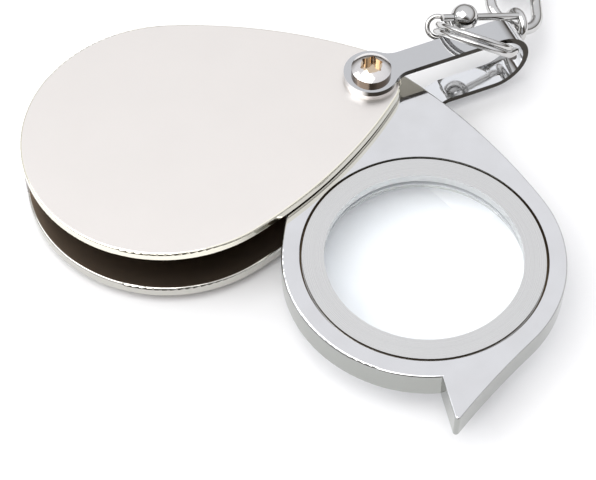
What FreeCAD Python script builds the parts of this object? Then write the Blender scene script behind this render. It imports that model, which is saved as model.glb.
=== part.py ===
import FreeCAD, Part
import math
import os

# Folding pocket magnifier: a teardrop case of two covers, a lens in a thick polished frame that
# swings out of it on a pivot screw, a U-shaped hanger strap on the same screw, a small split ring,
# a ball swivel, a link chain and a key ring. Millimetres. The origin is on the pivot axis, on the
# flat underside of the pivot nut. +Z is up, and the case lies along -X.

# Case
COVER_ROUND_X = -28.2
COVER_ROUND_R = 19.15
COVER_TIP_X = -1.7
COVER_TIP_R = 5.6
COVER_SIDE_R = 65.0
COVER_EDGE_R = 0.3
BOTTOM_COVER = (1.4, 3.0)
TOP_COVER = (9.2, 10.6)
WALL_THICKNESS = 0.8
WALL_STOP_ANGLE = 171.0
WALL_PIVOT_END_X = -13.0

# Pivot stack
NUT_HEAD_TOP = 0.6
HEAD_R = 2.65
BARREL_R = 2.0
THREAD_R = 1.48
SCREW_TIP_RISE = 0.4
SCREW_TIP_CHAMFER = 0.2
THREAD_HOLE_R = 1.5
THREAD_HOLE_FLOOR = 0.7
COVER_HOLE_R = 2.02
EAR_HOLE_R = 2.05
SCREW_SEAT = 11.85
SCREW_SIDE_HEIGHT = 0.7
SCREW_DOME_HEIGHT = 0.9
LOBE_ACROSS = 3.1
LOBE_WAIST = 2.24
LOBE_TIP_R = 0.22
LOBE_DEPTH = 1.1
BUSH_R = 2.3
BUSH_HOLE_R = 1.55
WASHER_HOLE_R = 2.35
WASHER_R = 3.5
UPPER_FRICTION_WASHER = (8.875, 9.175)
LOWER_FRICTION_WASHER = (4.575, 4.875)
SPACER_WASHER = (3.02, 3.32)
SPRING_LOW = 3.34
SPRING_HIGH = 4.55
SPRING_THICKNESS = 0.35
EAR_WASHER = (10.6, 11.05)
EAR_WASHER_R = 3.6

# Lens arm
OPEN_ANGLE = 82.45
LENS_X = -28.2
FRAME = (4.9, 8.85)
FRAME_R = 17.85
FRAME_TIP_X = -2.0
FRAME_TIP_R = 5.8
FRAME_SIDE_R = 80.0
FRAME_EDGE_R = 0.3
CUT_TOP = 12.0
PIVOT_BORE_R = 2.35
TAB_SIDE = 2.4
TAB_REACH = 24.1
TAB_FLANK_R = 120.0
TAB_TIP_R = 0.4
APERTURE_R = 12.6
LENS_BORE_R = 14.15
RECESS_R = 15.6
LIP_TOP = 5.8
RECESS_FLOOR = 7.5
SEAT_RING_TOP = 6.2
SEAT_RING_R = 14.1
LENS_R = 14.0
LENS_SURFACE_R = 75.0
LENS_EDGE = 0.9
LENS_LOW = 5.16
RETAINER = (7.68, 8.83)
RETAINER_HOLE_R = 12.5
RETAINER_LAND_R = 15.57
RETAINER_TOP_R = 15.25
RETAINER_LAND_HEIGHT = 0.55

# Hanger strap
STRAP_ANGLE = 3.0
STRAP_WIDTH = 3.6
STRAP_THICKNESS = 0.8
STRAP_EAR_R = 3.65
STRAP_FILLET_R = 3.0
STRAP_TOP = 11.85
STRAP_BEND_X = 18.1
STRAP_LOWER_BAND = 2.3
LOWER_EAR_BASE = 0.6
JOGGLE_START_X = 7.5
JOGGLE_RUN = 3.4
JOGGLE_BEND_R = 1.6
STRAP_BEYOND = 6.0

# Small split ring through the strap
RING_CENTRE = (16.12, 2.13, 9.6)
RING_ACROSS = (0.804, -0.565, -0.185)
RING_DEPTH = (0.317, 0.593, -0.740)
RING_R = 5.5
RING_WIRE = 1.0
RING_HEIGHT = 1.8

# Ball swivel
SWIVEL_AXIS = (0.942, 0.014, -0.335)
SWIVEL_START = (12.35, 5.3, 12.27)
HOOK_EYE_R = 1.45
HOOK_EYE_WIRE_R = 0.35
HOOK_EYE_DROP = 1.7
BALL_PLACE = 3.5
BALL_R = 1.9
BALL_SHELL = 0.45
BALL_STEM_GAP = 0.3
STEM_R = 0.5
STEM_HOLE_R = 0.56
STEM_HEAD_R = 0.8
STEM_HEAD_LENGTH = 0.45
CHAIN_EYE_PLACE = 12.8
CHAIN_EYE_R = 2.0
CHAIN_EYE_WIRE_R = 0.65

# Chain and key ring
LINK_LENGTH = 12.5
LINK_WIDTH = 8.9
LINK_WIRE_R = 0.82
LINK_GAP = 2.15
LINK_SLACK = 0.3
# Each link's compass angle, slope and roll, from the swivel outwards. Neighbours stand crosswise.
LINK_LAY = [(70, 0, -22), (60, -5, 68), (44, -6, -16), (30, 0, 60)]
KEY_RING_HEADING = (18, -7)
KEY_RING_GAP = 2.3
KEY_RING_R = 12.0
KEY_RING_WIRE = 1.3
KEY_RING_HEIGHT = 2.4


def vector(x, y, z=0.0):
    return FreeCAD.Vector(x, y, z)


def unit(direction):
    length = math.sqrt(sum(part * part for part in direction))
    return FreeCAD.Vector(*[part / length for part in direction])


def polar(centre, radius, degrees):
    angle = math.radians(degrees)
    return (centre[0] + radius * math.cos(angle), centre[1] + radius * math.sin(angle))


def disc(radius, low, high, x=0.0):
    return Part.makeCylinder(radius, high - low, vector(x, 0, low))


def washer(outer, inner, low, high, x=0.0):
    return disc(outer, low, high, x).cut(disc(inner, low - 1, high + 1, x))


def outline(start, steps):
    """A flat face in XY. A step is [end] for a line, or [middle, end] for an arc."""
    edges = []
    point = vector(*start)
    for step in steps:
        end = vector(*step[-1])
        if len(step) == 2:
            edges.append(Part.Arc(point, vector(*step[0]), end).toShape())
        else:
            edges.append(Part.makeLine(point, end))
        point = end
    if point.distanceToPoint(vector(*start)) > 1e-6:
        edges.append(Part.makeLine(point, vector(*start)))
    return Part.Face(Part.Wire(edges))


def stand_up(face):
    """Turn a face drawn as (x, height) in XY up into the XZ plane."""
    face.rotate(vector(0, 0), vector(1, 0), 90)
    return face


def turned(start, steps):
    """A solid of revolution about Z from an outline drawn as (radius, height)."""
    return stand_up(outline(start, steps)).revolve(vector(0, 0), vector(0, 0, 1), 360)


def slab(face, low, high):
    face.translate(vector(0, 0, low))
    return face.extrude(vector(0, 0, high - low))


def teardrop(round_x, round_r, tip_x, tip_r, side_r):
    """Two circles on the X axis, joined by large arcs that are tangent to both."""
    far = side_r - round_r
    near = side_r - tip_r
    side_x = (round_x + tip_x) / 2 + (far ** 2 - near ** 2) / (2 * (tip_x - round_x))
    side_y = math.sqrt(far ** 2 - (side_x - round_x) ** 2)
    to_round = math.degrees(math.atan2(side_y, round_x - side_x))
    to_tip = math.degrees(math.atan2(side_y, tip_x - side_x))
    middle = (to_round + to_tip) / 2
    upper = (side_x, -side_y)
    lower = (side_x, side_y)
    return outline(polar(upper, side_r, to_tip), [
        [polar(upper, side_r, middle), polar(upper, side_r, to_round)],
        [(round_x - round_r, 0), polar(lower, side_r, -to_round)],
        [polar(lower, side_r, -middle), polar(lower, side_r, -to_tip)],
        [(tip_x + tip_r, 0), polar(upper, side_r, to_tip)],
    ])


def edges_at(shape, heights):
    """The edges that lie flat at one of the given heights."""
    found = []
    for edge in shape.Edges:
        box = edge.BoundBox
        if any(abs(box.ZMin - z) < 1e-6 and abs(box.ZMax - z) < 1e-6 for z in heights):
            found.append(edge)
    return found


def save(node, shape):
    shape.exportStep("parts/" + node + ".step")


# Case pieces

def cover(low, high):
    face = teardrop(COVER_ROUND_X, COVER_ROUND_R, COVER_TIP_X, COVER_TIP_R, COVER_SIDE_R)
    plate = slab(face, low, high)
    plate = plate.makeFillet(COVER_EDGE_R, edges_at(plate, (low, high)))
    return plate.cut(disc(COVER_HOLE_R, low - 1, high + 1))


def side_wall():
    """A strip between the covers, round the blind side and up to the lens arm's stop."""
    low = BOTTOM_COVER[1]
    high = TOP_COVER[0]
    face = teardrop(COVER_ROUND_X, COVER_ROUND_R, COVER_TIP_X, COVER_TIP_R, COVER_SIDE_R)
    outer = slab(face, low, high)
    face = teardrop(COVER_ROUND_X, COVER_ROUND_R - WALL_THICKNESS, COVER_TIP_X,
                    COVER_TIP_R - WALL_THICKNESS, COVER_SIDE_R - WALL_THICKNESS)
    inner = slab(face, low, high)
    centre = (COVER_ROUND_X, 0)
    reach = 2 * COVER_ROUND_R
    blind_side = slab(outline(centre, [
        [polar(centre, reach, WALL_STOP_ANGLE)],
        [(COVER_ROUND_X - reach, reach)],
        [(WALL_PIVOT_END_X, reach)],
        [(WALL_PIVOT_END_X, 0)],
    ]), low, high)
    return outer.cut(inner).common(blind_side)


# Pivot pieces

def lobed_recess(low, high):
    """A six-lobed socket: six small round tips joined by larger hollow arcs."""
    tip_place = LOBE_ACROSS / 2 - LOBE_TIP_R
    waist = LOBE_WAIST / 2
    slant = math.cos(math.radians(30))
    hollow_r = (LOBE_TIP_R ** 2 - tip_place ** 2 - waist ** 2 + 2 * tip_place * waist * slant)
    hollow_r = hollow_r / (2 * (waist - tip_place * slant - LOBE_TIP_R))
    meets = LOBE_TIP_R / (LOBE_TIP_R + hollow_r)

    def tangent_point(lobe_angle, hollow_angle):
        tip = polar((0, 0), tip_place, lobe_angle)
        hollow = polar((0, 0), waist + hollow_r, hollow_angle)
        return (tip[0] + (hollow[0] - tip[0]) * meets, tip[1] + (hollow[1] - tip[1]) * meets)

    steps = []
    for lobe in range(6):
        angle = 60 * lobe
        steps.append([polar((0, 0), LOBE_ACROSS / 2, angle), tangent_point(angle, angle + 30)])
        steps.append([polar((0, 0), waist, angle + 30), tangent_point(angle + 60, angle + 30)])
    return slab(outline(tangent_point(0, -30), steps), low, high)


def pivot_screw():
    side = SCREW_SEAT + SCREW_SIDE_HEIGHT
    top = side + SCREW_DOME_HEIGHT
    dome_r = (HEAD_R ** 2 + SCREW_DOME_HEIGHT ** 2) / (2 * SCREW_DOME_HEIGHT)
    dome_middle = HEAD_R / 2
    dome_height = top - dome_r + math.sqrt(dome_r ** 2 - dome_middle ** 2)
    shoulder = TOP_COVER[0]
    tip = NUT_HEAD_TOP + SCREW_TIP_RISE
    body = turned((0, tip), [
        [(THREAD_R - SCREW_TIP_CHAMFER, tip)],
        [(THREAD_R, tip + SCREW_TIP_CHAMFER)],
        [(THREAD_R, shoulder)],
        [(BARREL_R, shoulder)],
        [(BARREL_R, SCREW_SEAT)],
        [(HEAD_R, SCREW_SEAT)],
        [(HEAD_R, side)],
        [(dome_middle, dome_height), (0, top)],
    ])
    return body.cut(lobed_recess(top - LOBE_DEPTH, top + 1))


def pivot_nut():
    """A blind barrel nut. Its round barrel stands in the lower ear and the bottom cover."""
    rim = 0.25
    slant = rim * math.sqrt(0.5)
    body = turned((0, 0), [
        [(HEAD_R - rim, 0)],
        [(HEAD_R - rim + slant, rim - slant), (HEAD_R, rim)],
        [(HEAD_R, NUT_HEAD_TOP)],
        [(BARREL_R, NUT_HEAD_TOP)],
        [(BARREL_R, BOTTOM_COVER[1])],
        [(0, BOTTOM_COVER[1])],
    ])
    return body.cut(disc(THREAD_HOLE_R, THREAD_HOLE_FLOOR, BOTTOM_COVER[1] + 1))


def cone_spring():
    """A disc spring that presses the lens arm against the top cover."""
    return turned((WASHER_HOLE_R, SPRING_HIGH - SPRING_THICKNESS), [
        [(WASHER_R, SPRING_LOW)],
        [(WASHER_R, SPRING_LOW + SPRING_THICKNESS)],
        [(WASHER_HOLE_R, SPRING_HIGH)],
    ])


# Lens arm pieces, drawn folded in, with the arm along -X

def swing_open(shape):
    shape.rotate(vector(0, 0), vector(0, 0, 1), OPEN_ANGLE)
    return shape


def thumb_tab():
    """The pointed tab beyond the round frame: one straight side and one long hollow flank."""
    tip = (TAB_REACH, -TAB_SIDE)
    tip_distance = math.hypot(*tip)
    flank_distance = FRAME_R + TAB_FLANK_R
    cosine = (tip_distance ** 2 + flank_distance ** 2 - TAB_FLANK_R ** 2)
    cosine = cosine / (2 * tip_distance * flank_distance)
    flank_angle = math.degrees(math.atan2(tip[1], tip[0])) + math.degrees(math.acos(cosine))
    flank_centre = polar((0, 0), flank_distance, flank_angle)
    to_tip = math.degrees(math.atan2(tip[1] - flank_centre[1], tip[0] - flank_centre[0])) % 360
    to_frame = flank_angle + 180
    middle = polar(flank_centre, TAB_FLANK_R, (to_tip + to_frame) / 2)
    inside = FRAME_R - 3
    face = outline((inside, -TAB_SIDE), [
        [tip],
        [middle, polar((0, 0), FRAME_R, flank_angle)],
        [polar((0, 0), inside, flank_angle)],
    ])
    face.rotate(vector(0, 0), vector(0, 0, 1), 180)
    face.translate(vector(LENS_X, 0))
    tab = slab(face, *FRAME)
    tip_x = LENS_X - TAB_REACH
    corner = [edge for edge in tab.Edges if abs(edge.BoundBox.XMax - tip_x) < 1e-3]
    return tab.makeFillet(TAB_TIP_R, corner)


def lens_frame():
    face = teardrop(LENS_X, FRAME_R, FRAME_TIP_X, FRAME_TIP_R, FRAME_SIDE_R)
    body = slab(face, *FRAME).fuse(thumb_tab()).removeSplitter()
    body = body.makeFillet(FRAME_EDGE_R, edges_at(body, FRAME))
    body = body.cut(disc(PIVOT_BORE_R, 0, CUT_TOP))
    body = body.cut(disc(APERTURE_R, 0, CUT_TOP, LENS_X))
    body = body.cut(disc(LENS_BORE_R, LIP_TOP, CUT_TOP, LENS_X))
    return body.cut(disc(RECESS_R, RECESS_FLOOR, CUT_TOP, LENS_X))


def lens():
    """A lens with the same curve on both faces and a ground edge."""
    bulge = LENS_SURFACE_R - math.sqrt(LENS_SURFACE_R ** 2 - LENS_R ** 2)
    half = LENS_R / 2
    half_bulge = LENS_SURFACE_R - math.sqrt(LENS_SURFACE_R ** 2 - half ** 2)
    edge_low = LENS_LOW + bulge
    edge_high = edge_low + LENS_EDGE
    top = edge_high + bulge
    glass = turned((0, LENS_LOW), [
        [(half, LENS_LOW + half_bulge), (LENS_R, edge_low)],
        [(LENS_R, edge_high)],
        [(half, top - half_bulge), (0, top)],
    ])
    glass.translate(vector(LENS_X, 0))
    return glass


def retaining_ring():
    """A threaded ring over the lens, stepped so that a groove shows round it."""
    step = RETAINER[0] + RETAINER_LAND_HEIGHT
    body = turned((RETAINER_HOLE_R, RETAINER[0]), [
        [(RETAINER_LAND_R, RETAINER[0])],
        [(RETAINER_LAND_R, step)],
        [(RETAINER_TOP_R, step)],
        [(RETAINER_TOP_R, RETAINER[1])],
        [(RETAINER_HOLE_R, RETAINER[1])],
    ])
    body.translate(vector(LENS_X, 0))
    return body


# Hanger strap

def joggle(offset):
    """The lower band's step up from the ear, at an offset from the strip's middle."""
    low = LOWER_EAR_BASE + STRAP_THICKNESS / 2
    high = STRAP_LOWER_BAND + STRAP_THICKNESS / 2
    slope = math.degrees(math.atan2(high - low, JOGGLE_RUN))
    run_in = JOGGLE_BEND_R * math.tan(math.radians(slope / 2))
    first = (JOGGLE_START_X - run_in, low + JOGGLE_BEND_R)
    second = (JOGGLE_START_X + JOGGLE_RUN + run_in, high - JOGGLE_BEND_R)
    inner = JOGGLE_BEND_R - offset
    outer = JOGGLE_BEND_R + offset
    return [
        polar(first, inner, -90), polar(first, inner, slope / 2 - 90), polar(first, inner, slope - 90),
        polar(second, outer, slope + 90), polar(second, outer, slope / 2 + 90), polar(second, outer, 90),
    ]


def strap():
    """A strip bent into a U, seen from the side, cut to its plan: a round ear and a band."""
    half = STRAP_THICKNESS / 2
    under = joggle(-half)
    over = joggle(half)
    outer_r = (STRAP_TOP - STRAP_LOWER_BAND) / 2
    inner_r = outer_r - STRAP_THICKNESS
    bend = (STRAP_BEND_X, STRAP_TOP - outer_r)
    side = stand_up(outline((-STRAP_BEYOND, STRAP_TOP), [
        [(STRAP_BEND_X, STRAP_TOP)],
        [polar(bend, outer_r, 0), polar(bend, outer_r, -90)],
        [under[5]],
        [under[4], under[3]],
        [under[2]],
        [under[1], under[0]],
        [(-STRAP_BEYOND, LOWER_EAR_BASE)],
        [(-STRAP_BEYOND, LOWER_EAR_BASE + STRAP_THICKNESS)],
        [over[0]],
        [over[1], over[2]],
        [over[3]],
        [over[4], over[5]],
        [polar(bend, inner_r, -90)],
        [polar(bend, inner_r, 0), polar(bend, inner_r, 90)],
        [(-STRAP_BEYOND, STRAP_TOP - STRAP_THICKNESS)],
    ]))
    side.translate(vector(0, 2 * STRAP_EAR_R))
    strip = side.extrude(vector(0, -4 * STRAP_EAR_R))

    edge = STRAP_WIDTH / 2
    fillet_y = edge + STRAP_FILLET_R
    fillet_x = math.sqrt((STRAP_EAR_R + STRAP_FILLET_R) ** 2 - fillet_y ** 2)
    turn = math.degrees(math.atan2(fillet_y, fillet_x))
    swing = (turn + 90) / 2
    end_x = STRAP_BEND_X + outer_r + 1
    plan = slab(outline(polar((0, 0), STRAP_EAR_R, turn), [
        [(-STRAP_EAR_R, 0), polar((0, 0), STRAP_EAR_R, -turn)],
        [polar((fillet_x, -fillet_y), STRAP_FILLET_R, 180 - swing), (fillet_x, -edge)],
        [(end_x, -edge)],
        [(end_x, edge)],
        [(fillet_x, edge)],
        [polar((fillet_x, fillet_y), STRAP_FILLET_R, swing - 180), polar((0, 0), STRAP_EAR_R, turn)],
    ]), 0, STRAP_TOP + 1)
    body = strip.common(plan).cut(disc(EAR_HOLE_R, -1, STRAP_TOP + 1))
    body.rotate(vector(0, 0), vector(0, 0, 1), STRAP_ANGLE)
    return body


# Rings, swivel and chain

def placed(shape, origin, x_axis, y_axis):
    """Move a shape drawn at the origin so that its X and Y lie along the given directions."""
    x_unit = unit(x_axis)
    z_unit = unit(x_unit.cross(unit(y_axis)))
    turn = FreeCAD.Rotation(x_unit, z_unit.cross(x_unit), z_unit, "XYZ")
    shape.Placement = FreeCAD.Placement(FreeCAD.Vector(*origin), turn)
    return shape


def wound_ring(radius, wire, height):
    """The outer shape of a ring of two turns, with rounded edges."""
    corner = wire / 2
    low = -height / 2
    high = height / 2
    slant = corner * math.sqrt(0.5)
    return turned((radius - corner, low + corner), [
        [(radius - slant, low + corner - slant), (radius, low)],
        [(radius + slant, low + corner - slant), (radius + corner, low + corner)],
        [(radius + corner, high - corner)],
        [(radius + slant, high - corner + slant), (radius, high)],
        [(radius - slant, high - corner + slant), (radius - corner, high - corner)],
    ])


def along(start, direction, distance):
    return FreeCAD.Vector(*start) + unit(direction) * distance


def rod(start, direction, radius, length):
    return Part.makeCylinder(radius, length, FreeCAD.Vector(*start), unit(direction))


def below_swivel(start, distance):
    """The point straight below a point of the swivel's axis, in the plane across the axis."""
    axis = unit(SWIVEL_AXIS)
    return along(start, vector(0, 0, -1) + axis * axis.z, distance)


def hook_eye():
    """The eye on the split ring's wire, with a stem whose head is held in the ball."""
    middle = below_swivel(SWIVEL_START, HOOK_EYE_DROP)
    loop = Part.makeTorus(HOOK_EYE_R, HOOK_EYE_WIRE_R, middle, unit(RING_DEPTH))
    head_end = BALL_PLACE - BALL_STEM_GAP
    stem = rod(SWIVEL_START, SWIVEL_AXIS, STEM_R, head_end)
    head = rod(along(SWIVEL_START, SWIVEL_AXIS, head_end - STEM_HEAD_LENGTH), SWIVEL_AXIS,
               STEM_HEAD_R, STEM_HEAD_LENGTH)
    return loop.fuse([stem, head]).removeSplitter()


def swivel_ball():
    """A hollow ball with a stem hole at each end."""
    inner_r = BALL_R - BALL_SHELL
    outer_end = math.sqrt(BALL_R ** 2 - STEM_HOLE_R ** 2)
    inner_end = math.sqrt(inner_r ** 2 - STEM_HOLE_R ** 2)
    shell = turned((STEM_HOLE_R, -outer_end), [
        [(BALL_R, 0), (STEM_HOLE_R, outer_end)],
        [(STEM_HOLE_R, inner_end)],
        [(inner_r, 0), (STEM_HOLE_R, -inner_end)],
    ])
    axis = unit(SWIVEL_AXIS)
    level_side = axis.cross(vector(0, 0, 1))
    return placed(shell, along(SWIVEL_START, axis, BALL_PLACE), level_side, axis.cross(level_side))


def chain_eye_middle():
    return below_swivel(along(SWIVEL_START, SWIVEL_AXIS, CHAIN_EYE_PLACE), CHAIN_EYE_R)


def chain_eye():
    """The eye on the chain side. Its loop stands across the swivel's axis, below the stem."""
    start = along(SWIVEL_START, SWIVEL_AXIS, BALL_PLACE + BALL_STEM_GAP)
    loop = Part.makeTorus(CHAIN_EYE_R, CHAIN_EYE_WIRE_R, chain_eye_middle(), unit(SWIVEL_AXIS))
    stem = rod(start, SWIVEL_AXIS, STEM_R, CHAIN_EYE_PLACE - BALL_PLACE - BALL_STEM_GAP)
    head = rod(start, SWIVEL_AXIS, STEM_HEAD_R, STEM_HEAD_LENGTH)
    return loop.fuse([stem, head]).removeSplitter()


def oval_link():
    """A welded link. X runs along it from the middle of its first end bar."""
    bend_r = LINK_WIDTH / 2 - LINK_WIRE_R
    span = LINK_LENGTH - 2 * LINK_WIRE_R
    straight = span - 2 * bend_r
    pieces = []
    for place, first_side in ((bend_r, 90), (span - bend_r, -90)):
        half = Part.makeTorus(bend_r, LINK_WIRE_R, vector(0, 0), vector(0, 0, 1), -180, 180, 180)
        half.rotate(vector(0, 0), vector(0, 0, 1), first_side)
        half.translate(vector(place, 0))
        pieces.append(half)
    for side in (-bend_r, bend_r):
        pieces.append(rod((bend_r, side, 0), (1, 0, 0), LINK_WIRE_R, straight))
    return pieces[0].fuse(pieces[1:]).removeSplitter()


def heading(degrees, pitch):
    """A direction from its compass angle in XY and its slope, both in degrees."""
    level = math.cos(math.radians(pitch))
    x, y = polar((0, 0), level, degrees)
    return FreeCAD.Vector(x, y, math.sin(math.radians(pitch)))




def chain_places():
    """Each link's first bar, its direction and its across direction, and where the last one ends."""
    start = along(chain_eye_middle(), (0, -1, 0), LINK_SLACK)
    places = []
    for angle, pitch, roll in LINK_LAY:
        direction = heading(angle, pitch)
        side = heading(angle - 90, 0)
        across = along(side * math.cos(math.radians(roll)), (0, 0, 1), math.sin(math.radians(roll)))
        places.append((start, direction, across))
        end = along(start, direction, LINK_LENGTH - 2 * LINK_WIRE_R)
        start = along(end, direction, -LINK_GAP)
    return places, along(end, direction, -KEY_RING_GAP)


def key_ring(start):
    direction = heading(*KEY_RING_HEADING)
    level_side = (-direction.y, direction.x, 0)
    return placed(wound_ring(KEY_RING_R, KEY_RING_WIRE, KEY_RING_HEIGHT),
                  along(start, direction, KEY_RING_R), direction, level_side)


def build():
    save("bottom_cover", cover(*BOTTOM_COVER))
    save("top_cover", cover(*TOP_COVER))
    save("side_wall", side_wall())
    save("pivot_screw", pivot_screw())
    save("pivot_nut", pivot_nut())
    save("pivot_bush", washer(BUSH_R, BUSH_HOLE_R, BOTTOM_COVER[1], TOP_COVER[0]))
    save("upper_friction_washer", washer(WASHER_R, WASHER_HOLE_R, *UPPER_FRICTION_WASHER))
    save("lower_friction_washer", washer(WASHER_R, WASHER_HOLE_R, *LOWER_FRICTION_WASHER))
    save("spacer_washer", washer(WASHER_R, WASHER_HOLE_R, *SPACER_WASHER))
    save("cone_spring", cone_spring())
    save("ear_washer", washer(EAR_WASHER_R, EAR_HOLE_R, *EAR_WASHER))

    save("lens_frame", swing_open(lens_frame()))
    save("lens", swing_open(lens()))
    save("lens_retaining_ring", swing_open(retaining_ring()))
    save("lens_seat_ring", swing_open(washer(SEAT_RING_R, APERTURE_R, LIP_TOP, SEAT_RING_TOP, LENS_X)))

    save("hanger_strap", strap())
    save("split_ring", placed(wound_ring(RING_R, RING_WIRE, RING_HEIGHT), RING_CENTRE,
                              RING_ACROSS, RING_DEPTH))
    save("swivel_hook_eye", hook_eye())
    save("swivel_ball", swivel_ball())
    save("swivel_chain_eye", chain_eye())
    places, last = chain_places()
    for number, (start, direction, across) in enumerate(places, 1):
        save("chain_link_%d" % number, placed(oval_link(), start, direction, across))
    save("key_ring", key_ring(last))


os.makedirs("parts", exist_ok=True)
build()
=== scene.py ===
"""Looks of the folding pocket magnifier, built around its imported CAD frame. Lengths are in metres."""

import math

import bpy
import numpy as np
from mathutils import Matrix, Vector


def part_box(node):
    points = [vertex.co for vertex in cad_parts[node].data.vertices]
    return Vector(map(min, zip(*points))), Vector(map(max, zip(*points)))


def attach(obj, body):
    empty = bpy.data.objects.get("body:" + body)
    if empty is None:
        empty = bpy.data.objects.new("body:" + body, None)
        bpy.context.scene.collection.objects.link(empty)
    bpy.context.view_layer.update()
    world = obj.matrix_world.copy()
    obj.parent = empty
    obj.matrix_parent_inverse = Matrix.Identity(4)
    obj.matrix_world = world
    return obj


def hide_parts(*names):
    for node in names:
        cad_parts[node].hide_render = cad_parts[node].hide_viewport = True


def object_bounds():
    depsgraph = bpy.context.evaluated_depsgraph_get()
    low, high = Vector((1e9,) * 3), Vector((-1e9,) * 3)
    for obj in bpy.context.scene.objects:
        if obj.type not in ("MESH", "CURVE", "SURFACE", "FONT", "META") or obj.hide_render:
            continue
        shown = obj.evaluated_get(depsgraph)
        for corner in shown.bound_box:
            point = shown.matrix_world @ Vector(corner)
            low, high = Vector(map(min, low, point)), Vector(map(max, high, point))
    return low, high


MM = 0.001

# Camera: a long lens that looks down on the open magnifier from its left
CAMERA_LENS = 110
CAMERA_AZIMUTH = -19.95
CAMERA_ELEVATION = 54.29
CAMERA_DISTANCE = 228.3 * MM
CAMERA_AIM = Vector((-17.71, -20.45, 8.85)) * MM
CAMERA_CLIP_START = 10 * MM
FLOOR_REACH = 4.0

# Split rings of wound wire: corner as a share of the wire, gap between the turns, and in degrees the
# angle that the step between them takes
WIRE_CORNER = 0.48
CORNER_STEPS = 4
WIRE_GAP = 0.05 * MM
RING_STEP_ANGLE = 38
RING_STATIONS = 120

# Where finishes and painted light change: share of an upright normal on a flat face (painted edge colour,
# painted inner shade), reach of the screw's recess, the bevel of the retaining ring measured in from its
# edge (painted shade), and grain sizes
FLAT_FACE = (0.97, 0.995)
RECESS_REACH = 1.45 * MM
RECESS_EDGE = 0.1 * MM
RING_BEVEL = (0.30 * MM, 0.24 * MM)
SATIN_GRAIN = 0.11 * MM
LATHE_PITCH = 0.09 * MM
CLOUDS_TO_GRAIN = 20

# Sockets of Blender's Mix node for colours
MIX_SHARE, MIX_FIRST, MIX_SECOND, MIX_COLOUR = 0, 6, 7, 2

# Colours, as linear values
NICKEL = (0.885, 0.845, 0.81)
NICKEL_SHADE = (0.81, 0.775, 0.74)
CHROME = (0.80, 0.815, 0.83)
CHROME_SHADE = (0.74, 0.75, 0.77)
# Painted shade for the covers' inner faces, which face each other across the slot between the covers
INSIDE_PAINTED_SHADE = (0.33, 0.26, 0.20)
INSIDE_PAINTED_SHADE_DEEP = (0.20, 0.155, 0.115)
BRASS = (0.72, 0.50, 0.20)
BRASS_SHADE = (0.58, 0.38, 0.14)
STEEL = (0.56, 0.56, 0.58)
STEEL_SHADE = (0.44, 0.44, 0.46)
NYLON = (0.78, 0.76, 0.70)
NYLON_SHADE = (0.68, 0.66, 0.60)
RUBBER = (0.50, 0.50, 0.51)
RUBBER_SHADE = (0.42, 0.42, 0.43)
GLASS = (0.93, 0.965, 1.0)
GLASS_LIGHT = (0.97, 0.99, 1.0)
# Painted shade on the strap's side edges
STRAP_SIDE_SHADE = (0.045, 0.040, 0.034)
# Painted shade under the strap's upper band, which faces the top cover
UNDERSIDE_SHADE = (0.30, 0.28, 0.22)
# Painted darker reflection on the strap's upper band
STRAP_TOP_DARK_REFLECTION = (0.56, 0.565, 0.575)
# Painted shade on the screw head's upright rim
SCREW_RIM_SHADE = (0.16, 0.12, 0.09)
RECESS_TAN = (0.62, 0.50, 0.37)
# Painted light on the covers' side faces: a cream reflection on the top cover, olive shade on the bottom
# cover
CREAM_EDGE_REFLECTION = (0.93, 0.90, 0.78)
OLIVE_EDGE_SHADE = (0.58, 0.57, 0.53)
RING_SATIN = (0.70, 0.70, 0.69)
RING_SATIN_SHADE = (0.60, 0.60, 0.595)
# Painted shade in the groove between the retaining ring and the frame
GROOVE_PAINTED_SHADE = (0.075, 0.055, 0.035)
FRAME_FACE = (0.76, 0.765, 0.78)
FRAME_FACE_SHADE = (0.67, 0.67, 0.675)
# Painted shade on the lens frame's side walls
FRAME_SIDE_SHADE = (0.37, 0.378, 0.36)
WIRE = (0.74, 0.74, 0.745)
WIRE_SHADE = (0.44, 0.43, 0.41)
FLOOR = (0.93, 0.93, 0.93)
FLOOR_SHADE = (0.91, 0.91, 0.915)

# Room: sky colour by height of the direction, soft dark zones as (azimuth, elevation, outer, inner angle)
SKY = [(0.0, (0.055, 0.043, 0.034)), (0.10, (0.10, 0.085, 0.070)), (0.26, (0.55, 0.54, 0.54)),
       (0.50, (0.93, 0.94, 0.97)), (1.0, (1.02, 1.02, 1.05))]
ROOM_SHADE = (0.10, 0.09, 0.08)
SHADED_ZONES = [(-15, 16, 46, 22)]

# Soft boxes: name, azimuth, elevation, distance, width, height, power, colour
SOFT_BOXES = [("overhead_box", -70, 66, 0.9, 0.8, 0.8, 5.0, (1.0, 0.99, 0.975)),
              ("left_box", -112, 38, 0.8, 0.45, 0.35, 1.0, (0.95, 0.975, 1.0))]

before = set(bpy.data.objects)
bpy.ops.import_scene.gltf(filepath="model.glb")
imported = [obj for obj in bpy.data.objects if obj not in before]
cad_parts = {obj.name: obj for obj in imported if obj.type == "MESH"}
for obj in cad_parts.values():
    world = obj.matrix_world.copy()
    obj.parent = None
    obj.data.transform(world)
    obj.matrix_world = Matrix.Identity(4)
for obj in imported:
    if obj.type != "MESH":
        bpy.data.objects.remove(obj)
cad_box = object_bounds()


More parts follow.
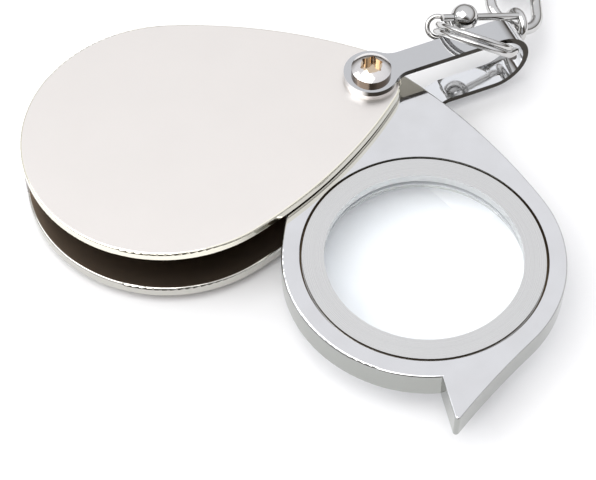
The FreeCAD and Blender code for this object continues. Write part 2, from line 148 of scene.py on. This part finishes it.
class Recipe:
    """One material's nodes, with short calls that add and join them."""

    def __init__(self, name):
        self.material = bpy.data.materials.new(name)
        self.material.use_nodes = True
        self.tree = self.material.node_tree
        self.shader = self.tree.nodes["Principled BSDF"]
        self.place = self.add("ShaderNodeTexCoord")

    def add(self, kind, **settings):
        node = self.tree.nodes.new(kind)
        for key, value in settings.items():
            setattr(node, key, value)
        return node

    def feed(self, value, socket):
        """Joins an output to a socket, or sets the socket to a plain number."""
        if isinstance(value, bpy.types.NodeSocket):
            self.tree.links.new(value, socket)
        else:
            socket.default_value = value

    def fix(self, **values):
        """Sets the shader's own sockets, such as Metallic=1."""
        for key, value in values.items():
            self.shader.inputs[key.replace("_", " ")].default_value = value

    def stretched(self, scale, centre=(0, 0, 0), turn=0.0):
        """Object coordinates about a centre, turned about Z and then stretched."""
        shift = self.add("ShaderNodeVectorMath", operation="SUBTRACT")
        self.feed(self.place.outputs["Object"], shift.inputs[0])
        self.feed(centre, shift.inputs[1])
        mapping = self.add("ShaderNodeMapping")
        self.feed(shift.outputs[0], mapping.inputs["Vector"])
        self.feed((0, 0, turn), mapping.inputs["Rotation"])
        self.feed(scale, mapping.inputs["Scale"])
        return mapping.outputs[0]

    def noise(self, size, detail=2.0, vector=None):
        """Noise with blobs of about this size, from 0 to 1."""
        node = self.add("ShaderNodeTexNoise")
        self.feed(1 / size, node.inputs["Scale"])
        self.feed(detail, node.inputs["Detail"])
        self.feed(vector or self.place.outputs["Object"], node.inputs["Vector"])
        return node.outputs["Fac"]

    def calc(self, operation, a, b=0.0):
        node = self.add("ShaderNodeMath", operation=operation)
        self.feed(a, node.inputs[0])
        self.feed(b, node.inputs[1])
        return node.outputs[0]

    def spread(self, value, low, high, start=0.3, end=0.7):
        """Maps start..end to low..high, with the ends held."""
        node = self.add("ShaderNodeMapRange")
        for number, socket in zip((value, start, end, low, high), node.inputs):
            self.feed(number, socket)
        return node.outputs[0]

    def tint(self, share, first, second):
        """A colour between first and second."""
        node = self.add("ShaderNodeMix", data_type="RGBA")
        self.feed(share, node.inputs[MIX_SHARE])
        for value, number in ((first, MIX_FIRST), (second, MIX_SECOND)):
            colour = value if isinstance(value, bpy.types.NodeSocket) else (*value, 1)
            self.feed(colour, node.inputs[number])
        return node.outputs[MIX_COLOUR]

    def overpaint(self, share, colour):
        """Lays a colour over the base colour that is already there."""
        base = self.shader.inputs["Base Color"]
        self.feed(self.tint(share, base.links[0].from_socket, colour), base)

    def bump(self, height, depth, strength=1.0):
        """Relief of this depth, on top of any relief already there."""
        node = self.add("ShaderNodeBump")
        self.feed(strength, node.inputs["Strength"])
        self.feed(depth, node.inputs["Distance"])
        self.feed(height, node.inputs["Height"])
        before = self.shader.inputs["Normal"].links
        if before:
            self.feed(before[0].from_socket, node.inputs["Normal"])
        self.feed(node.outputs[0], self.shader.inputs["Normal"])

    def axis(self, output, index):
        """One coordinate of a texture coordinate output."""
        node = self.add("ShaderNodeSeparateXYZ")
        self.feed(self.place.outputs[output], node.inputs[0])
        return node.outputs[index]

    def radius(self, centre):
        """Distance from a vertical axis through centre."""
        flat = self.stretched((1, 1, 0), centre)
        node = self.add("ShaderNodeVectorMath", operation="LENGTH")
        self.feed(flat, node.inputs[0])
        return node.outputs["Value"]


def fine_scratches(recipe, turn, width=0.04 * MM, length=3 * MM):
    """Sparse hairlines along one direction, 1 on a line."""
    along = recipe.stretched((1, length / width, 1), turn=turn)
    return recipe.spread(recipe.noise(length, 3, along), 0, 1, 0.64, 0.72)


def polished(name, colour, shade, roughness=0.05):
    """Bright plating: slow waves from polishing, faint hairlines and handling marks."""
    recipe = Recipe(name)
    recipe.fix(Metallic=1.0)
    clouds = recipe.noise(4 * MM, 3)
    recipe.feed(recipe.tint(clouds, shade, colour), recipe.shader.inputs["Base Color"])
    lines = fine_scratches(recipe, 0.6)
    marks = recipe.spread(recipe.noise(1.2 * MM, 4), roughness, roughness + 0.05)
    worn = recipe.calc("ADD", marks, recipe.calc("MULTIPLY", lines, 0.06))
    recipe.feed(worn, recipe.shader.inputs["Roughness"])
    recipe.bump(recipe.noise(2.5 * MM, 1), 0.012 * MM)
    recipe.bump(lines, 0.0006 * MM)
    return recipe


def bent_strap(name):
    """Bright strap with painted shade on its side edges, a painted darker reflection on its upper band and
    painted shade under that band.
    """
    recipe = polished(name, CHROME, CHROME_SHADE, 0.04)
    low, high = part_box("hanger_strap")
    height = recipe.axis("Object", 2)
    middle = (low.z + high.z) / 2
    upper = recipe.spread(height, 0, 1, middle, high.z)
    # Painted darker reflection over the upper band
    recipe.overpaint(upper, STRAP_TOP_DARK_REFLECTION)
    # Painted shade on the upper band's downward faces
    down = recipe.spread(recipe.axis("Normal", 2), 0, 1, -0.6, -0.9)
    recipe.overpaint(recipe.calc("MULTIPLY", upper, down), UNDERSIDE_SHADE)
    # Painted shade on the side edges
    side = recipe.spread(recipe.calc("ABSOLUTE", recipe.axis("Normal", 1)), 0, 1, 0.75, 0.9)
    recipe.overpaint(side, STRAP_SIDE_SHADE)
    return recipe.material


def satin_cover(name, inside_up, edge):
    """Bead-blasted outer face with polished edges that carry a painted edge colour, and painted shade on the
    inner face.
    """
    recipe = Recipe(name)
    recipe.fix(Metallic=1.0)
    up = recipe.axis("Normal", 2)
    flat = recipe.spread(recipe.calc("ABSOLUTE", up), 0, 1, *FLAT_FACE)
    inward = up if inside_up else recipe.calc("MULTIPLY", up, -1)
    inside = recipe.spread(inward, 0, 1, *FLAT_FACE)
    grain = recipe.noise(SATIN_GRAIN, 2)
    clouds = recipe.noise(9 * MM, 3)
    nickel = recipe.tint(recipe.calc("MULTIPLY", clouds, grain), NICKEL_SHADE, NICKEL)
    # Painted shade on the inner face, the one that faces the other cover
    dark = recipe.tint(clouds, INSIDE_PAINTED_SHADE_DEEP, INSIDE_PAINTED_SHADE)
    # Side faces take the painted edge colour: reflection on the top cover, shade on the bottom cover
    nickel = recipe.tint(flat, edge, nickel)
    recipe.feed(recipe.tint(inside, nickel, dark), recipe.shader.inputs["Base Color"])
    satin = recipe.spread(grain, 0.34, 0.44)
    bright = recipe.spread(clouds, 0.07, 0.12)
    step = recipe.calc("MULTIPLY", recipe.calc("SUBTRACT", satin, bright), flat)
    recipe.feed(recipe.calc("ADD", bright, step), recipe.shader.inputs["Roughness"])
    recipe.bump(recipe.calc("MULTIPLY", grain, flat), 0.010 * MM, 0.5)
    return recipe.material


def turned_ring(name, centre, outer):
    """Satin ring with fine lathe lines round its own axis and painted shade on the bevel at its outer edge,
    in the groove to the frame.
    """
    recipe = Recipe(name)
    recipe.fix(Metallic=1.0)
    radius = recipe.radius(centre)
    lines = recipe.add("ShaderNodeTexNoise", noise_dimensions="1D")
    recipe.feed(recipe.calc("MULTIPLY", radius, 1 / LATHE_PITCH), lines.inputs["W"])
    recipe.feed(1.0, lines.inputs["Scale"])
    recipe.feed(3.0, lines.inputs["Detail"])
    groove = lines.outputs["Fac"]
    clouds = recipe.noise(6 * MM, 2)
    satin = recipe.tint(groove, RING_SATIN_SHADE, RING_SATIN)
    # Painted shade on the outer bevel, in the groove to the frame
    bevel = recipe.spread(radius, 0, 1, outer - RING_BEVEL[0], outer - RING_BEVEL[1])
    recipe.feed(recipe.tint(bevel, satin, GROOVE_PAINTED_SHADE), recipe.shader.inputs["Base Color"])
    rough = recipe.calc("ADD", recipe.spread(groove, 0.20, 0.34), recipe.spread(clouds, 0.0, 0.05))
    recipe.feed(rough, recipe.shader.inputs["Roughness"])
    recipe.bump(groove, 0.006 * MM, 0.7)
    return recipe.material


def clear_glass(name):
    """Lens glass with a faint bluish body and the slightest smear, which lets lamplight through."""
    recipe = Recipe(name)
    recipe.fix(IOR=1.52, Transmission_Weight=1.0, Metallic=0.0)
    smear = recipe.noise(5 * MM, 3)
    recipe.feed(recipe.tint(smear, GLASS, GLASS_LIGHT), recipe.shader.inputs["Base Color"])
    recipe.feed(recipe.spread(smear, 0.0, 0.012), recipe.shader.inputs["Roughness"])
    recipe.bump(recipe.noise(3 * MM, 1), 0.0004 * MM)
    rays = recipe.add("ShaderNodeLightPath")
    clear = recipe.add("ShaderNodeBsdfTransparent")
    mix = recipe.add("ShaderNodeMixShader")
    recipe.feed(rays.outputs["Is Shadow Ray"], mix.inputs[0])
    recipe.feed(recipe.shader.outputs[0], mix.inputs[1])
    recipe.feed(clear.outputs[0], mix.inputs[2])
    recipe.feed(mix.outputs[0], recipe.tree.nodes["Material Output"].inputs["Surface"])
    return recipe.material


def mirror_frame(name):
    """The lens frame's mirror plating, with painted shade on its side walls."""
    recipe = polished(name, FRAME_FACE, FRAME_FACE_SHADE, 0.05)
    # Painted shade on the side walls
    side = recipe.spread(recipe.calc("ABSOLUTE", recipe.axis("Normal", 2)), 1, 0, 0.35, 0.75)
    recipe.overpaint(side, FRAME_SIDE_SHADE)
    return recipe.material


def screw_finish(name):
    """Bright screw with painted shade on its upright rim, and its recess tinted tan."""
    recipe = polished(name, NICKEL, STEEL, 0.09)
    low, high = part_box("pivot_screw")
    # Painted shade on the upright faces of the head
    upright = recipe.spread(recipe.calc("ABSOLUTE", recipe.axis("Normal", 2)), 1, 0, 0.25, 0.55)
    recipe.overpaint(upright, SCREW_RIM_SHADE)
    radius = recipe.radius((low + high) / 2)
    recess = recipe.spread(radius, 1, 0, RECESS_REACH - RECESS_EDGE, RECESS_REACH)
    # The recess inside this reach is tinted tan
    recipe.overpaint(recess, RECESS_TAN)
    return recipe.material


def plain(name, colour, shade, roughness, grain, relief, metallic=0.0):
    """A plainer surface: grain of one size over slow clouds of colour."""
    recipe = Recipe(name)
    recipe.fix(Metallic=metallic)
    fine = recipe.noise(grain, 3)
    clouds = recipe.noise(CLOUDS_TO_GRAIN * grain, 2)
    share = recipe.calc("MULTIPLY", recipe.calc("ADD", fine, clouds), 0.5)
    recipe.feed(recipe.tint(share, shade, colour), recipe.shader.inputs["Base Color"])
    rough = recipe.spread(fine, roughness - 0.06, roughness + 0.06)
    recipe.feed(rough, recipe.shader.inputs["Roughness"])
    recipe.bump(fine, relief)
    return recipe.material


def paint(material, *nodes):
    """Gives CAD nodes a material through their objects' slots."""
    for name in nodes:
        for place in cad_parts[name].material_slots:
            place.material = material


def paint_everything():
    low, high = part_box("lens")
    lens_centre = (low + high) / 2
    wire = polished("chain_chrome", WIRE, WIRE_SHADE, 0.07).material
    # The top cover's side faces get a painted cream reflection, the bottom cover's get painted olive shade
    paint(satin_cover("top_cover_satin", False, CREAM_EDGE_REFLECTION), "top_cover")
    paint(satin_cover("bottom_cover_satin", True, OLIVE_EDGE_SHADE), "bottom_cover")
    paint(plain("wall_nickel", NICKEL_SHADE, STEEL, 0.30, 0.12 * MM, 0.004 * MM, 1.0), "side_wall")
    paint(mirror_frame("frame_mirror"), "lens_frame")
    paint(bent_strap("strap_chrome"), "hanger_strap")
    ring_low, ring_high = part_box("lens_retaining_ring")
    paint(turned_ring("ring_satin", lens_centre, (ring_high.x - ring_low.x) / 2), "lens_retaining_ring")
    paint(clear_glass("lens_glass"), "lens")
    paint(screw_finish("screw_nickel"), "pivot_screw")
    paint(polished("washer_nickel", NICKEL, STEEL, 0.12).material, "ear_washer")
    paint(wire, "swivel_hook_eye", "swivel_ball", "swivel_chain_eye")
    paint(wire, *(f"chain_link_{number}" for number in range(1, 5)))
    wound_ring("split_ring_wire", "split_ring", "split_ring", wire)
    wound_ring("key_ring_wire", "key_ring", "key_ring", wire)
    paint(plain("bush_brass", BRASS, BRASS_SHADE, 0.28, 0.08 * MM, 0.003 * MM, 1.0), "pivot_bush")
    paint(plain("inner_steel", STEEL, STEEL_SHADE, 0.35, 0.10 * MM, 0.003 * MM, 1.0),
          "pivot_nut", "cone_spring", "spacer_washer")
    paint(plain("washer_nylon", NYLON, NYLON_SHADE, 0.45, 0.15 * MM, 0.004 * MM),
          "upper_friction_washer", "lower_friction_washer")
    paint(plain("seat_rubber", RUBBER, RUBBER_SHADE, 0.60, 0.10 * MM, 0.006 * MM), "lens_seat_ring")


def ring_facts(node):
    """A ring-shaped CAD node's centre, two directions across, axis, inner and outer radius and height."""
    points = np.array([vertex.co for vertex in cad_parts[node].data.vertices])
    middle = points.mean(axis=0)
    axes = np.linalg.eigh(np.cov((points - middle).T))[1].T
    axis, across = axes[0], axes[2]
    side = np.cross(axis, across)
    local = (points - middle) @ np.array([across, side, axis]).T
    shift = (local.max(axis=0) + local.min(axis=0)) / 2
    centre = middle + shift @ np.array([across, side, axis])
    local = local - shift
    radii = np.hypot(local[:, 0], local[:, 1])
    return centre, across, side, axis, radii.min(), radii.max(), np.ptp(local[:, 2])


def rounded_section(width, height):
    """Points round a rectangle with rounded corners, centred on zero."""
    corner = WIRE_CORNER * min(width, height)
    points = []
    for quarter in range(4):
        for step in range(CORNER_STEPS + 1):
            angle = math.radians(90 * (quarter + step / CORNER_STEPS))
            sign_x = 1 if quarter in (0, 3) else -1
            sign_y = 1 if quarter in (0, 1) else -1
            points.append((sign_x * (width / 2 - corner) + corner * math.cos(angle),
                           sign_y * (height / 2 - corner) + corner * math.sin(angle)))
    return points


def wound_ring(name, node, body, material):
    """A split ring of flattened wire: two turns that lie on each other, with a step near the wire's ends."""
    centre, across, side, axis, inner, outer, height = ring_facts(node)
    section = rounded_section(outer - inner, height / 2 - WIRE_GAP)
    radius = (inner + outer) / 2
    step_over = math.radians(RING_STEP_ANGLE)
    length = 4 * math.pi - step_over
    stations = 2 * RING_STATIONS
    points = []
    for station in range(stations + 1):
        angle = length * station / stations
        share = min(max((angle - (2 * math.pi - step_over)) / step_over, 0), 1)
        level = height / 4 * (2 * share * share * (3 - 2 * share) - 1)
        outward = across * math.cos(angle) + side * math.sin(angle)
        for x, y in section:
            points.append(centre + outward * (radius + x) + axis * (level + y))
    count = len(section)
    faces = []
    for station in range(stations):
        for number in range(count):
            near = station * count + number
            beside = station * count + (number + 1) % count
            faces.append((near, beside, beside + count, near + count))
    faces.append(tuple(range(count))[::-1])
    faces.append(tuple(range(stations * count, (stations + 1) * count)))
    mesh = bpy.data.meshes.new(name)
    mesh.from_pydata([tuple(point) for point in points], [], faces)
    mesh.validate()
    mesh.materials.append(material)
    piece = bpy.data.objects.new(name, mesh)
    bpy.context.scene.collection.objects.link(piece)
    for polygon in list(mesh.polygons)[:-2]:
        polygon.use_smooth = True
    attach(piece, body)
    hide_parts(node)


def floor():
    """A wide white sweep that the magnifier lies on."""
    mesh = bpy.data.meshes.new("floor")
    corners = [(-1, -1), (1, -1), (1, 1), (-1, 1)]
    points = [(x * FLOOR_REACH, y * FLOOR_REACH, cad_box[0].z) for x, y in corners]
    mesh.from_pydata(points, [], [(0, 1, 2, 3)])
    sheet = bpy.data.objects.new("floor", mesh)
    bpy.context.scene.collection.objects.link(sheet)
    mesh.materials.append(plain("white_floor", FLOOR, FLOOR_SHADE, 0.7, 0.6 * MM, 0.002 * MM))


def direction(azimuth, elevation):
    """Unit vector from the object towards a camera or light at that azimuth and elevation."""
    turn, rise = math.radians(azimuth), math.radians(elevation)
    flat = math.cos(rise)
    return Vector((math.sin(turn) * flat, -math.cos(turn) * flat, math.sin(rise)))


def camera():
    data = bpy.data.cameras.new("camera")
    data.lens = CAMERA_LENS
    data.clip_start = CAMERA_CLIP_START
    eye = bpy.data.objects.new("camera", data)
    back = direction(CAMERA_AZIMUTH, CAMERA_ELEVATION)
    eye.location = CAMERA_AIM + back * CAMERA_DISTANCE
    eye.rotation_mode = "QUATERNION"
    eye.rotation_quaternion = (-back).to_track_quat("-Z", "Y")
    bpy.context.scene.collection.objects.link(eye)
    bpy.context.scene.camera = eye


def softbox(name, azimuth, elevation, distance, width, height, power, colour=(1, 1, 1)):
    data = bpy.data.lights.new(name, "AREA")
    data.shape = "RECTANGLE"
    data.size, data.size_y = width, height
    data.energy = power
    data.color = colour
    lamp = bpy.data.objects.new(name, data)
    back = direction(azimuth, elevation)
    lamp.location = CAMERA_AIM + back * distance
    lamp.rotation_mode = "QUATERNION"
    lamp.rotation_quaternion = (-back).to_track_quat("-Z", "Y")
    bpy.context.scene.collection.objects.link(lamp)


def shaded_zone(tree, look, azimuth, elevation, outer, inner):
    """0 near a direction of the sky and 1 away from it, with a soft edge between two angles."""
    dot = tree.nodes.new("ShaderNodeVectorMath")
    dot.operation = "DOT_PRODUCT"
    tree.links.new(look, dot.inputs[0])
    dot.inputs[1].default_value = direction(azimuth, elevation)
    edge = tree.nodes.new("ShaderNodeMapRange")
    edge.interpolation_type = "SMOOTHSTEP"
    tree.links.new(dot.outputs["Value"], edge.inputs[0])
    limits = (math.cos(math.radians(outer)), math.cos(math.radians(inner)), 1, 0)
    for number, socket in zip(limits, list(edge.inputs)[1:5]):
        socket.default_value = number
    return edge.outputs[0]


def studio():
    """A white room, darker and warmer at the horizon and behind the camera, with soft boxes above."""
    world = bpy.data.worlds.new("studio")
    world.use_nodes = True
    tree = world.node_tree
    place = tree.nodes.new("ShaderNodeTexCoord")
    split = tree.nodes.new("ShaderNodeSeparateXYZ")
    ramp = tree.nodes.new("ShaderNodeValToRGB")
    tree.links.new(place.outputs["Generated"], split.inputs[0])
    tree.links.new(split.outputs[2], ramp.inputs[0])
    handles = ramp.color_ramp.elements
    while len(handles) < len(SKY):
        handles.new(0.5)
    for handle, (position, colour) in zip(handles, SKY):
        handle.position = position
        handle.color = (*colour, 1)
    sky = ramp.outputs[0]
    for zone in SHADED_ZONES:
        mix = tree.nodes.new("ShaderNodeMix")
        mix.data_type = "RGBA"
        tree.links.new(shaded_zone(tree, place.outputs["Generated"], *zone), mix.inputs[MIX_SHARE])
        mix.inputs[MIX_FIRST].default_value = (*ROOM_SHADE, 1)
        tree.links.new(sky, mix.inputs[MIX_SECOND])
        sky = mix.outputs[MIX_COLOUR]
    tree.links.new(sky, tree.nodes["Background"].inputs["Color"])
    bpy.context.scene.world = world
    for box in SOFT_BOXES:
        softbox(*box)


def main():
    paint_everything()
    floor()
    studio()
    camera()
    bpy.context.scene.view_settings.view_transform = "Standard"


main()
